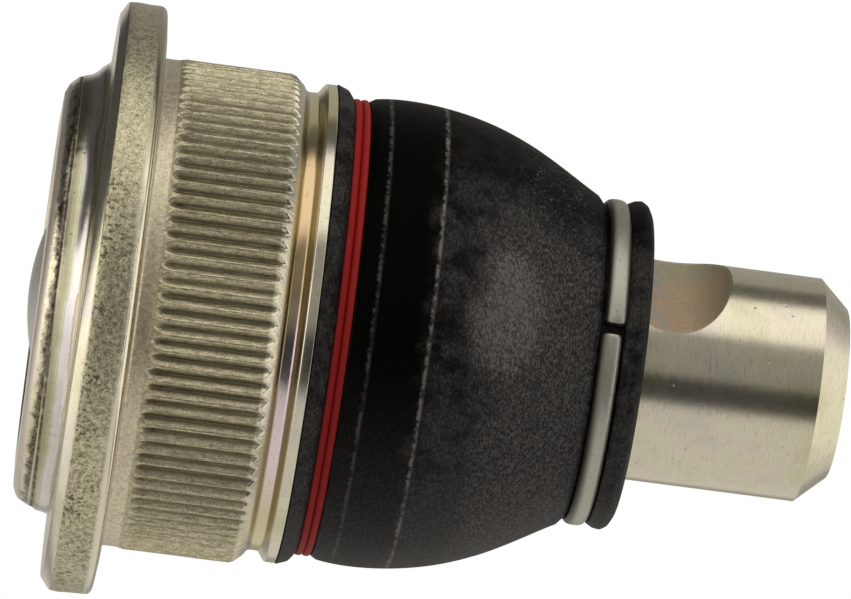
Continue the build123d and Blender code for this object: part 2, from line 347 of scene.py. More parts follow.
def housingOutline():
    # the wall's section: from the lip's bore along the lip and up the outside, and down the inside.
    # The slopes beside the serrations are rows that run straight from one (radius, height) to another.
    h = housing

    def slope(start, end, shares):
        return [(start[0] + (end[0] - start[0]) * k, start[1] + (end[1] - start[1]) * k, 0) for k in shares]

    rim = h["flange"] - h["flangeSwell"]
    stepRows = slope((h["land"], h["landEnd"]), (h["band"], h["bandStart"]), np.linspace(0.0, 0.9, 7))
    runOutRows = np.linspace(h["bandStart"], h["runOutEnd"], 9)
    bandRows = np.linspace(h["bandRow"], h["bandEnd"] - 0.4, 6)
    chamferTop, chamferFoot = (h["chamfer"], h["chamferStart"]), (h["chamferFoot"], h["chamferEnd"])
    outside = [
        (h["lipInner"], h["coverFace"], 0),
        (h["lipInner"], h["lipFace"], h["lipInnerRound"]),
        *h["lipBevels"],
        *h["ledge"],
        (h["bossStart"], h["ledgeEnd"], 0),
        (h["boss"], h["flangeBack"], h["bossFillet"]),
        (rim - h["backChamfer"][0], h["flangeBack"], 0.3),
        (rim, h["flangeBack"] + h["backChamfer"][1], 0.4),
        (h["flange"], h["flangeCrown"], 0.6),
        (rim, h["flangeFall"], 0.6),
        (rim, h["flangeFront"], h["frontRound"]),
        (h["seatRim"], h["seat"], 0.3),
        (h["land"], h["seat"], 0.35),
        *[(h["land"], h["landEnd"] - before, 0) for before in (0.14, 0.04)],
        *stepRows,
        *[(h["band"], z, 0) for z in (*runOutRows, *bandRows)],
        (h["band"], h["bandEnd"], 0.5),
        (*chamferTop, 0.35),
        *slope(chamferTop, chamferFoot, np.linspace(0.15, 0.85, 5)),
        (*chamferFoot, 0.1),
        (h["wallFoot"], h["wallEnd"], 0.25),
        (h["groove"], h["grooveStart"], 0.5),
        (h["groove"], h["grooveEnd"], 0.3),
        (h["collar"] - 0.03, h["collarStart"], h["softEdge"]),
        (h["collar"], h["collarEnd"], 0.15),
        (h["bootSeat"], h["collarEnd"], 0),
    ]
    inside = [
        (h["bootSeat"], h["beadStart"], 0),
        (h["bead"], h["beadStart"] + 0.3, 0.1),
        (h["bead"], h["mouth"] - 0.3, 0),
        (h["bead"] - 0.3, h["mouth"], 0),
        (h["throat"] + 0.6, h["mouth"], 0),
        (h["throat"], h["mouth"] - 0.6, 0),
        (h["throat"], h["throatStart"], 0),
        (h["bore"], h["coneStart"], 0),
        (h["bore"], h["coverBack"], 0),
        (h["coverSeat"], h["coverBack"], 0),
        (h["coverSeat"], h["coverFace"], 0),
    ]
    return (roundedPath(outside, h["stepLength"], closed=False),
            roundedPath(inside, h["hiddenStep"], closed=False))


def serratedRadius(crest, height, serial, across):
    # the lower of the plain wall and a V: root + (x^2 + rho^2)^0.5 - rho, where x is the distance
    # from the groove's middle and the root comes down along a quarter ellipse at the flange end.
    # The crest has a fold along its middle, exp(-(x / width)^2) deep. across runs 0 to 1 over a pitch.
    s = serration
    rng = np.random.default_rng(s["seed"])
    starts = s["start"] + rng.normal(0, s["startSpread"], s["count"])
    depths = s["depth"] + rng.normal(0, s["depthSpread"], s["count"])
    pitch = 2 * pi * housing["band"] / s["count"]
    fromRoot = np.minimum(across, 1 - across) * pitch
    groove = (serial + (across > 0.5)) % s["count"]
    along = np.clip((height - starts[groove]) / s["runOut"], 0, 1)
    drop = (depths[groove] + s["lift"]) * np.sqrt(1 - (1 - along) ** 2)
    vee = housing["band"] + s["lift"] - drop + np.sqrt(fromRoot**2 + s["rootRound"] ** 2) - s["rootRound"]
    share = np.clip(0.5 + 0.5 * (vee - crest) / s["edgeRound"], 0, 1)
    worn = vee + (crest - vee) * share - s["edgeRound"] * share * (1 - share)
    fold = s["fold"] * np.exp(-(((across - 0.5) * pitch / s["foldWidth"]) ** 2)) * along
    onBand = np.clip((crest - housing["band"] + 0.1) / 0.1, 0, 1)
    return worn - fold * onBand, np.clip((crest - worn) / s["depth"], 0, 1)


def makeHousing():
    # the outline turned about the axis. Towards the side raised in the picture the flange's back leans
    # by backTilt cos(angle) and the boss's fillet fills up by topFillet; the ledge leans the other way.
    # forged, cavity and ledge are 1 on the rim, in the serrations' roots and on the ledge.
    h, s = housing, serration
    serial = np.repeat(np.arange(s["count"]), len(s["columns"]))
    across = np.tile(np.array(s["columns"]), s["count"])
    fine = radians(s["direction"]) + (serial + across) * 2 * pi / s["count"]
    coarse = fine[::4]
    raised = np.arctan2(pictureUp.y, pictureUp.x)
    onFlange = h["flange"] - h["flangeSwell"] - 0.02
    outside, inside = housingOutline()
    rings, forged, cavity, ledge = [], [], [], []
    for k, (r, z) in enumerate(np.concatenate([outside, inside])):
        serrated = h["landEnd"] - 0.2 < z < h["chamferEnd"] - 0.05 and k < len(outside)
        angle = fine if serrated else coarse
        radius, height, hollow = np.full(len(angle), r), np.full(len(angle), z), np.zeros(len(angle))
        onLedge = h["ledgeStart"] <= z <= h["ledgeEnd"] and r > h["bead"] and k < len(outside)
        onRim = r > onFlange and h["flangeBack"] + h["backChamfer"][1] < z < h["flangeFront"] - 0.5
        if serrated:
            radius, hollow = serratedRadius(r, height, serial, across)
            radius = radius + s["rough"] * ripple(angle, height, 3, 900, 1.2) * (0.3 + hollow)
        if r > h["boss"] and z < h["flangeBack"] + h["backHeight"]:
            inReach = min(r - h["boss"], h["backReach"]) / h["backReach"]
            inHeight = min(1.0, (h["flangeBack"] + h["backHeight"] - z) / h["backHeight"])
            height = height + h["backTilt"] * inReach * inHeight * np.cos(angle - raised)
        if h["ledgeEnd"] < z and r < h["flange"] - 2:
            corner = np.exp(-((r - h["boss"]) ** 2 + (z - h["flangeBack"]) ** 2) / h["filletReach"])
            filled = h["topFillet"] * corner * (0.5 + 0.5 * np.cos(angle - raised)) * (z < h["flangeFront"])
            radius, height = radius + filled, height - filled
        if onRim:
            radius = radius - h["forgedDepth"] * np.abs(ripple(angle, height, 5, 60, 0.5))
        if onLedge:
            radius = radius - h["ledgeRough"] * np.abs(ripple(angle, height, 9, 90, 1.0))
            height = height + h["ledgeTilt"] * np.clip(-np.cos(angle - raised), 0, 1)
        rings.append(ring(radius, height, angle))
        forged.append(np.full(len(angle), float(onRim)))
        cavity.append(hollow)
        ledge.append(np.full(len(angle), float(onLedge and h["ledgeStart"] < z < h["ledgeEnd"])))
    return ringMesh("housing_steel", rings, dict(forged=forged, cavity=cavity, ledge=ledge), sharpAt=38)


housingSteel = makeHousing()
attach(housingSteel, "housing")
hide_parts("housing")
print("housing made:", len(housingSteel.data.loops), "corners")

# the dust boot is two pieces that meet at join
boot = dict(
    seat=16.35, lipStart=4.15, lip=19.25, shoulder=(18.9, 5.08), lipEnd=5.5, ringRadius=18.34,
    ringFloor=17.3, ringEnd=6.86, bellyStart=7.35, join=17.0, bellyEnd=25.9,
    belly=((18.5, 7.4), (18.7, 10.4), (18.0, 15.8), (16.1, 20.9), (14.34, 24.05), (13.26, 25.95)),
    inside=((12.9, 22.6), (15.3, 20.2), (17.0, 15.5), (17.5, 10.4), (17.3, 7.5)),
    valley=(12.7, 26.42), neckFloor=12.05, neckStart=26.55, neckEnd=28.33,
    neckLip=((12.85, 28.38), (13.15, 28.95), (13.24, 29.5), (12.95, 29.95), (12.4, 30.25)),
    lipBore=9.13, sealBore=9.55, sealStart=24.9, throat=(10.8, 24.1), wave=0.02, waves=9,
    columns=320, stepLength=0.45, bendStart=8.0, bendEnd=24.6,
)


def polynomialThrough(points):
    # the one polynomial radius(height) that goes through all the points
    radii, heights = np.array(points).T
    return np.poly1d(np.polyfit(heights, radii, len(points) - 1))


def bootRow(outline, start, end):
    rows = np.linspace(start, end, int(abs(end - start) / boot["stepLength"]) + 2)
    return [(outline(z), z, 0) for z in rows]


def makeBootPiece(name, corners):
    # a profile turned about the stud's axis, whose radius swells and shrinks a little on the way
    angle = np.linspace(0, 2 * pi, boot["columns"], endpoint=False)
    rings = []
    for r, z in roundedPath(corners, boot["stepLength"]):
        wave = boot["wave"] * ripple(angle, z, 21, boot["waves"], 0.03)
        rings.append(ring(r + wave * (r > boot["seat"] + 0.3), z, angle))
    piece = ringMesh(name, rings, {}, sharpAt=50)
    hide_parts("dust_boot")
    return piece


def makeBoot():
    b = boot
    outside, inside = polynomialThrough(b["belly"]), polynomialThrough(b["inside"])
    lower = [
        (b["seat"], b["lipStart"], 0),
        (b["lip"], b["lipStart"], 0.08),
        (*b["shoulder"], 0.5),
        (b["ringRadius"], b["lipEnd"], 0.12),
        (b["ringFloor"], b["lipEnd"], 0.08),
        (b["ringFloor"], b["ringEnd"], 0.08),
        (18.2, b["ringEnd"], 0.18),
        *bootRow(outside, b["bellyStart"], b["join"]),
        *bootRow(inside, b["join"], b["inside"][-1][1]),
        (housing["bead"] + 0.05, housing["beadStart"] + 0.3, 0),
        (b["seat"], housing["beadStart"], 0),
    ]
    upper = [
        *bootRow(outside, b["join"], b["bellyEnd"]),
        (*b["valley"], 0.35),
        (b["neckFloor"], b["neckStart"], 0.08),
        (b["neckFloor"], b["neckEnd"], 0.08),
        *[(r, z, 0.3) for r, z in b["neckLip"]],
        (b["lipBore"], b["neckLip"][-1][1], 0),
        (b["sealBore"], b["neckLip"][-1][1] - 0.38, 0),
        (b["sealBore"], b["sealStart"], 0),
        (*b["throat"], 0.3),
        *bootRow(inside, b["inside"][0][1], b["join"]),
    ]
    return makeBootPiece("boot_lower", lower), makeBootPiece("boot_upper", upper)


bootLower, bootUpper = makeBoot()
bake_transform(bootLower)
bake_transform(bootUpper)
print("boot made")

# the retaining rings are flat wires; low is the lower edge's height, directions and gaps in degrees
baseRing = dict(
    inner=17.35, outer=18.32, low=5.55, height=0.63, crown=0.19, turns=2, gap=3.0,
    stepDirection=150.0, stepAngle=12.0, stepsPerTurn=300, bevel=0.15, stepLength=0.3,
)
neckRing = dict(
    inner=12.1, outer=13.13, low=26.6, height=1.68, crown=0.34, gap=4.0, direction=-41.1, twist=0.2,
    steps=420, bevel=0.4, stepLength=0.3,
)


def wireSection(w):
    # a flat wire's section: the inner side flat, the outer side crowned. A corner of the crown is given
    # by its drop as a share of the crown, its place as a share of the height and its rounding.
    middle, top = w["low"] + w["height"] / 2, w["low"] + w["height"]
    crowned = ((1, 0.5, 0.1), (0.3, 0.36, 0.3), (0.06, 0.2, 0.3), (0, 0, 0.5),
               (0.06, -0.2, 0.3), (0.3, -0.36, 0.3), (1, -0.5, 0.1))
    corners = [(w["outer"] - w["crown"] * drop, middle + w["height"] * place, rounding)
               for drop, place, rounding in crowned]
    return roundedPath([*corners, (w["inner"], w["low"], 0.1), (w["inner"], top, 0.1)], w["stepLength"])


def sweepWire(name, section, angle, lift, shrink):
    # the section carried round the axis: at each angle it is lifted and drawn in towards its own middle
    middle = section.mean(0)
    rings = []
    for turn, up, small in zip(angle, lift, shrink):
        spots = middle + (section - middle) * small
        rings.append(np.stack([spots[:, 0] * cos(turn), spots[:, 0] * sin(turn), spots[:, 1] + up], 1))
    return ringMesh(name, rings, {}, closed=False, sharpAt=45)


def endShrink(angle, radius, bevel):
    # 1 along the wire; over the last bevel of its length a quarter circle takes the section in
    fromEnd = np.minimum(angle - angle[0], angle[-1] - angle) * radius
    inward = 1 - np.clip(fromEnd / bevel, 0, 1)
    return 1 - 0.22 * (1 - np.sqrt(1 - inward**2 * 0.98))


def makeBaseRing():
    # the wire steps up by its own height, 3t^2 - 2t^3, where the second turn begins
    b = baseRing
    gap, half = radians(b["gap"]), radians(b["stepAngle"]) / 2
    angle = np.linspace(0, 2 * pi * b["turns"] - gap - 2 * half, b["stepsPerTurn"] * b["turns"])
    ramp = np.clip((angle - (2 * pi - gap / 2 - 2 * half)) / (2 * half), 0, 1)
    lift = b["height"] * ramp * ramp * (3 - 2 * ramp)
    shrink = endShrink(angle, b["outer"], b["bevel"])
    angle = angle + radians(b["stepDirection"]) + half
    return sweepWire("base_ring_wire", wireSection(b), angle, lift, shrink)


def makeNeckRing():
    # one open turn, whose ends part by twist along the axis; short steps at the ends shape their bevels
    n = neckRing
    gap = radians(n["gap"])
    share = np.concatenate([np.linspace(0, 0.002, 5)[:-1], np.linspace(0.002, 0.998, n["steps"]),
                            np.linspace(0.998, 1, 5)[1:]])
    angle = share * (2 * pi - gap)
    lift = n["twist"] * (share - 0.5)
    shrink = endShrink(angle, n["outer"], n["bevel"])
    angle = angle + radians(n["direction"]) + gap / 2
    return sweepWire("neck_ring_wire", wireSection(n), angle, lift, shrink)


baseRingWire = makeBaseRing()
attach(baseRingWire, "housing")
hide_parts("boot_base_ring")
neckRingWire = makeNeckRing()
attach(neckRingWire, "boot_neck")
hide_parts("boot_neck_ring")
print("rings made")


# finishes: scales are per millimetre, heights and depths in millimetres. The zinc dictionary is the
# plating that the housing, the stud and the cover share.
zinc = dict(
    clouds=0.16, cloudDetail=4.0, turning=9.0, speckScale=2.4, pitScale=1.1, pitSize=0.13,
    tints=((0.28, (196, 192, 164)), (0.42, (208, 204, 178)), (0.50, (214, 210, 190)),
           (0.58, (212, 204, 188)), (0.66, (202, 200, 192)), (0.80, (194, 196, 172))),
    smooth=0.13, rough=0.24, brown=(104, 92, 66), soot=(52, 43, 34), rust=(176, 104, 66),
    turningDepth=0.006, speckDepth=0.006, pitDepth=0.03,
)
forging = dict(
    pale=(214, 209, 180), dark=(150, 146, 122), pit=(92, 88, 70), scale=2.4, pitScale=2.6,
    gritScale=6.0, patchScale=0.22, rough=0.36, depth=0.05, pitted=(-11.2, -13.3),
)
rolledEdge = dict(
    # the dark brown colour and the heights and raggedness after it draw a painted shadow under the rolled
    # lip, towards the ledge
    colour=(208, 196, 186), ledgeShadow=(72, 64, 50), turned=(136, 132, 98), start=-16.3,
    inner=15.2, outer=17.1, ragged=0.7, shadowEdge=(-16.75, -15.5, 0.5), shadowEnd=(-15.95, -16.1),
    shadowRaggedness=1.5, turnedEnd=-15.0, depth=0.05,
)
# oil colours of the thin film, as places along the height or, in the groove, round the part; round the
# groove they also lay a painted peach highlight above the front, and the boss's lilac-white band is a
# painted reflection
bossFilmAndReflection = dict(start=-16.0, end=-13.9, share=0.8, stops=(
    (0.03, (110, 104, 82)), (0.20, (134, 131, 103)), (0.34, (178, 177, 150)),
    (0.50, (213, 211, 220)), (0.74, (206, 201, 208)), (0.82, (150, 126, 104)),
    (0.90, (197, 194, 172))))
seatFilm = dict(start=-10.1, end=-8.8, share=0.75, stops=(
    (0.02, (190, 154, 116)), (0.16, (214, 178, 144)), (0.34, (214, 196, 184)),
    (0.58, (204, 200, 182)), (0.85, (204, 202, 172))))
grooveFilmAndHighlight = dict(start=1.75, end=2.95, share=0.85, drift=1.6, side=-28.0, stops=(
    (0.10, (206, 200, 104)), (0.24, (206, 196, 166)), (0.36, (228, 212, 222)),
    (0.47, (206, 190, 198)), (0.54, (158, 136, 100)), (0.62, (204, 174, 132)),
    (0.71, (206, 180, 136)), (0.76, (166, 162, 120))))
# painted shade as darker bands along the groove's two edges, and a paler painted top side of the groove's
# floor
grooveShading = dict(places=((1.44, 1.96), (2.70, 3.2)), colour=(152, 134, 88), share=0.65,
                   top=(228, 220, 172), topShare=0.8)
serrationFilm = dict(pale=(216, 210, 180), root=(98, 92, 70), streak=(142, 136, 110),
                     grit=(122, 116, 92), rough=0.38, depth=0.05)
landFilm = dict(pale=(240, 232, 208), dark=(176, 169, 144), rim=(228, 223, 202), rough=0.44,
                rimReach=(20.4, 20.7), rustReach=(20.2, 20.5))


def zincFilm(r, spot, z):
    # passivated zinc: clouds of tint, lines left by turning, fine specks and a few pits
    f = zinc
    clouds = r.noise(spot, f["clouds"], f["cloudDetail"], 0.6)
    tint = r.ramp(clouds, f["tints"])
    lines = r.noise(r.vector(clouds * 0.4, 0.0, z * f["turning"]), 1.0, 4.0, 0.7)
    specks = r.noise(spot, f["speckScale"], 4.0, 0.75)
    cells = r.add("TexVoronoi", {"Vector": spot, "Scale": f["pitScale"]})
    pits = 1 - cells.step(0.04, f["pitSize"])
    sparse = r.noise(spot, 0.4, 2.0, 0.5).step(0.52, 0.62)
    return tint, clouds, lines, specks, pits * sparse


def turnFraction(x, y):
    # 0.5 at one side of the part, changing by drift over a turn, and drawn back to 0.5 across the far
    # side, so that no pattern has a seam there
    side = radians(grooveFilmAndHighlight["side"])
    along = x * cos(side) + y * sin(side)
    across = x * sin(side) - y * cos(side)
    share = across.combine("ARCTAN2", along) / (2 * pi)
    return share * share.combine("ABSOLUTE").step(0.5, 0.28) * grooveFilmAndHighlight["drift"] + 0.5


def zincHousing():
    f, h, lip, teeth = zinc, housing, rolledEdge, serrationFilm
    r = Recipe("zinc_housing")
    x, y, z, radius, spot = r.place()
    tint, clouds, lines, specks, pits = zincFilm(r, spot, z)
    forged, cavity, ledge = (r.add("Attribute", output="Fac", attribute_name=name)
                             for name in ("forged", "cavity", "ledge"))
    turn = turnFraction(x, y)
    onBand = z.within(h["landEnd"], h["bandEnd"] + 0.3, 0.3)
    front = h["flangeFront"]
    onLand = z.within(front + 0.1, h["landEnd"] + 0.3, 0.25)
    onGroove = z.within(grooveFilmAndHighlight["start"], grooveFilmAndHighlight["end"], 0.1)
    onLip = z.step(lip["start"] + 0.05, lip["start"])
    lead = z.within(h["bandEnd"], h["wallEnd"], 0.2)
    # oil colours, which drift along the boss, across the seat's fillet and round the groove; on the boss
    # they include a painted lilac-white reflection band, round the groove a painted peach highlight
    for film in (bossFilmAndReflection, seatFilm):
        place = (z - film["start"]) / (film["end"] - film["start"]) + (clouds - 0.5) * 0.5
        share = z.within(film["start"], film["end"], 0.15) * (0.35 + clouds) * film["share"]
        tint = r.mix(share.clamped(), tint, r.ramp(place, film["stops"]))
    # the groove's tints follow the picture's direction round the part and place a painted peach highlight
    # above the front
    wander = turn + (clouds - 0.5) * 0.12
    # painted light: the groove's floor on the side towards the picture's top is painted paler
    olive = turn.step(0.72, 0.74) * z.step(h["wallEnd"], h["grooveStart"])
    tint = r.layered(
        tint,
        (onGroove * grooveFilmAndHighlight["share"], r.ramp(wander, grooveFilmAndHighlight["stops"])),
        (olive * grooveShading["topShare"], grooveShading["top"]),
        # painted shade at the groove's two edges
        *[(z.within(low, high, 0.12) * grooveShading["share"], grooveShading["colour"])
          for low, high in grooveShading["places"]],
    )
    # forged rim: pale and dark scale, pitted in patches and most of all beside the chamfer
    mottle = r.noise(spot, forging["scale"], 5.0, 0.75)
    grit = r.noise(spot, forging["gritScale"], 3.0, 0.7)
    skin = r.mix((mottle * 0.55 + grit * 0.45).step(0.39, 0.61), forging["dark"], forging["pale"])
    rimPits = r.noise(r.vector(x + 9, y, z), forging["pitScale"], 4.0, 0.65)
    patchy = r.noise(spot, forging["patchScale"], 2.0, 0.5).step(0.40, 0.60)
    thick = 0.1 + patchy * (0.35 + z.step(*forging["pitted"]))
    # the pitting thins out on the side towards the picture's top and is thickest below the middle, so the
    # rim is darker towards the bottom
    thick = thick * (0.2 + turn.step(0.64, 0.58) * 0.8) + turn.step(0.62, 0.56) * 0.45
    skin = r.mix((rimPits.step(0.52, 0.36) * thick).clamped() * 0.9, skin, forging["pit"])
    rim = z.step(front - 0.8, front - 0.45) * radius.step(*landFilm["rimReach"])
    edgeRust = z.step(front - 0.12, front - 0.02) * radius.step(*landFilm["rustReach"])
    # land: dull and mottled; serrations: pale crests, streaks and grit along the flanks, roots darkened by
    # dirt and painted shade
    landSkin = r.mix((mottle * 0.5 + grit * 0.5).step(0.38, 0.62), landFilm["dark"], landFilm["pale"])
    streaks = r.noise(r.vector(x * 3.2, y * 3.2, z * 0.8), 1.5, 4.0, 0.7)
    # the serrations' roots darkened by dirt and painted shade
    rootDirtAndShade = (cavity.step(0.4, 0.95) * (0.3 + streaks * 0.9)).clamped()
    # rolled lip: a ragged scuffed strip, a painted shadow with a ragged edge towards the ledge, and turned
    # lines beyond it
    scuff = r.noise(r.vector(x, y, z * 0.5), 1.3, 4.0, 0.7)
    rolled = onLip * (radius + scuff * lip["ragged"]).within(lip["inner"], lip["outer"], 0.3)
    # painted shadow under the rolled lip: its height wanders with noise to give a ragged edge
    shadowEdge = z + (r.noise(spot, 0.9, 4.0, 0.65) - 0.5) * lip["shadowRaggedness"]
    ledgeShadow = shadowEdge.within(*lip["shadowEdge"]) * z.step(*lip["shadowEnd"])
    turned = z.within(h["ledgeEnd"], lip["turnedEnd"], 0.25) * lines.step(0.52, 0.42)
    colour = r.layered(
        tint,
        (forged, skin),
        (onLand * 0.6, landSkin),
        (onBand * 0.8, teeth["pale"]),
        (onBand * streaks.step(0.58, 0.40) * 0.6, teeth["streak"]),
        (onBand * grit.step(0.54, 0.38) * 0.55, teeth["grit"]),
        (rootDirtAndShade, teeth["root"]),
        ((1 - specks.step(0.28, 0.44)) * 0.35, f["brown"]),
        (pits * 0.6, f["soot"]),
        (rim * (0.4 + grit * 0.8), landFilm["rim"]),
        # painted shade: the land's rim darker on the side towards the picture's top
        (rim * turn.step(0.60, 0.66) * 0.8, forging["dark"]),
        (edgeRust * specks.step(0.48, 0.6) * 0.6, f["rust"]),
        (rolled * scuff.step(0.3, 0.5), lip["colour"]),
        # painted shadow towards the ledge
        (ledgeShadow * (0.1 + specks * 1.5), lip["ledgeShadow"]),
        (turned * 0.5, lip["turned"]),
        # painted shade: the ledge under the rolled lip darkened with the soot colour
        (ledge * scuff.step(0.3, 0.48) * 0.75, f["soot"]),
        (lead * grit.step(0.56, 0.40) * 0.3, teeth["pale"]),
    )
    roughness = f["smooth"] + (f["rough"] - f["smooth"]) * specks + forged * (forging["rough"] - 0.2)
    roughness = roughness + rolled * 0.25 + ledge * 0.3 + lead * 0.06
    roughness = roughness + onBand * (teeth["rough"] - 0.2) + onLand * (landFilm["rough"] - 0.2)
    grain = r.bumps(
        (lines, f["turningDepth"], 0.6),
        (specks, f["speckDepth"], 0.6),
        ((mottle + rimPits) * forged, forging["depth"], 0.9),
        (streaks * onBand + grit * (onBand + onLand) * 0.4, teeth["depth"], 0.9),
        (scuff * onLip, lip["depth"], 0.8),
        (1 - pits, f["pitDepth"], 0.8),
    )
    return r.finish(Base_Color=colour, Metallic=1.0, Roughness=roughness.clamped(), Normal=grain)


notchTint = dict(
    shank=9.0, start=30.2, end=38.6, olive=(208, 202, 172), brown=(228, 200, 170),
    blue=(196, 200, 200), burrAndHighlight=(240, 234, 206), grain=0.22, rough=0.28, oliveRise=(34.5, 37.5),
    blueFall=(33.5, 31.0),
)


def zincStud():
    # the turned shank has fine grooves round it; the milled notch is browned and left duller
    f, n = zinc, notchTint
    r = Recipe("stud_steel")
    x, y, z, radius, spot = r.place()
    tint, clouds, lines, specks, pits = zincFilm(r, spot, z)
    scratches = r.noise(r.vector(x * 0.9, y * 0.9, z * 8.0), 1.0, 4.0, 0.7)
    notched = z.step(n["start"], n["start"] + 0.2) * z.step(n["end"], n["end"] - 0.2)
    notched = notched * radius.step(n["shank"] - 0.02, n["shank"] - 0.06)
    # a burr along the notch's outer edge, lightened as a painted highlight of that edge
    burrAndHighlight = notched * radius.step(n["shank"] - 0.25, n["shank"] - 0.1) * specks.step(0.3, 0.45)
    spots = r.noise(r.vector(x, y, z + 3.0), 0.35, 2.0, 0.5)
    inNotch = r.layered(
        n["brown"],
        ((spots * 3 - x).step(2.0, 6.0), n["olive"]),
        (z.step(*n["oliveRise"]) * 0.6, n["olive"]),
        (spots.step(0.40, 0.60) * z.step(*n["blueFall"]) * 0.7, n["blue"]),
        (specks.step(0.56, 0.40) * 0.12, f["brown"]),
    )
    colour = r.layered(
        tint,
        ((1 - scratches.step(0.3, 0.5)) * n["grain"], f["brown"]),
        ((1 - specks.step(0.26, 0.42)) * 0.2, f["brown"]),
        (notched, inNotch),
        (burrAndHighlight * 0.6, n["burrAndHighlight"]),
        (pits * 0.6, f["soot"]),
    )
    roughness = f["smooth"] + (f["rough"] - f["smooth"]) * specks + 0.03 + notched * n["rough"]
    grain = r.bumps(
        (scratches, f["turningDepth"], 1.0),
        (specks, f["speckDepth"], 0.6),
        (1 - pits, f["pitDepth"], 0.8),
    )
    return r.finish(Base_Color=colour, Metallic=1.0, Roughness=roughness.clamped(), Normal=grain)


coverTint = dict(grey=(200, 200, 200), greyShare=0.85, brownShare=0.35, rough=0.36)


def zincCover():
    # pressed sheet: duller and greyer than the turned steel, with marks drawn round the dome
    f, c = zinc, coverTint
    r = Recipe("zinc_cover")
    x, y, z, radius, spot = r.place()
    tint, clouds, lines, specks, pits = zincFilm(r, spot, z)
    drawn = r.noise(r.vector(radius * 3.0, clouds, 0.0), 1.0, 3.0, 0.6)
    colour = r.layered(
        tint,
        (c["greyShare"], c["grey"]),
        ((1 - specks.step(0.3, 0.5)) * c["brownShare"], f["brown"]),
    )
    roughness = c["rough"] + specks * 0.2
    grain = r.bumps((drawn + specks, f["speckDepth"], 0.7))
    return r.finish(Base_Color=colour, Metallic=1.0, Roughness=roughness.clamped(), Normal=grain)


# seams are the heights of the two parting lines; the band of painted glints near the neck and the creased
# band are each the heights where they start and end and how softly; the next four keys place the one
# painted highlight patch. All turns are turnFraction's.
rubber = dict(
    black=(2, 2, 2), grey=(30, 29, 28), glintGrey=(98, 95, 91), dust=(134, 130, 124),
    lipGrey=(35, 35, 36), grainScale=3.0, grainStretch=2.0, saltScale=6.5, sheen=0.35,
    seams=(8.45, 12.9), seamShare=(0.22, 0.6), seamWidth=0.24, seamHeight=0.05, lipEnd=6.9,
    smooth=0.40, rough=0.56, creased=(17.5, 26.6, 2.5), glintHeights=(16.0, 27.5, 3.0), glintTurn=(0.74, 0.60),
    highlightHeight=18.7, highlightReach=2.2, highlightTurn=0.547, highlightWidth=0.052,
    leatherDepth=0.22, saltDepth=0.03, creaseDepth=0.14,
)


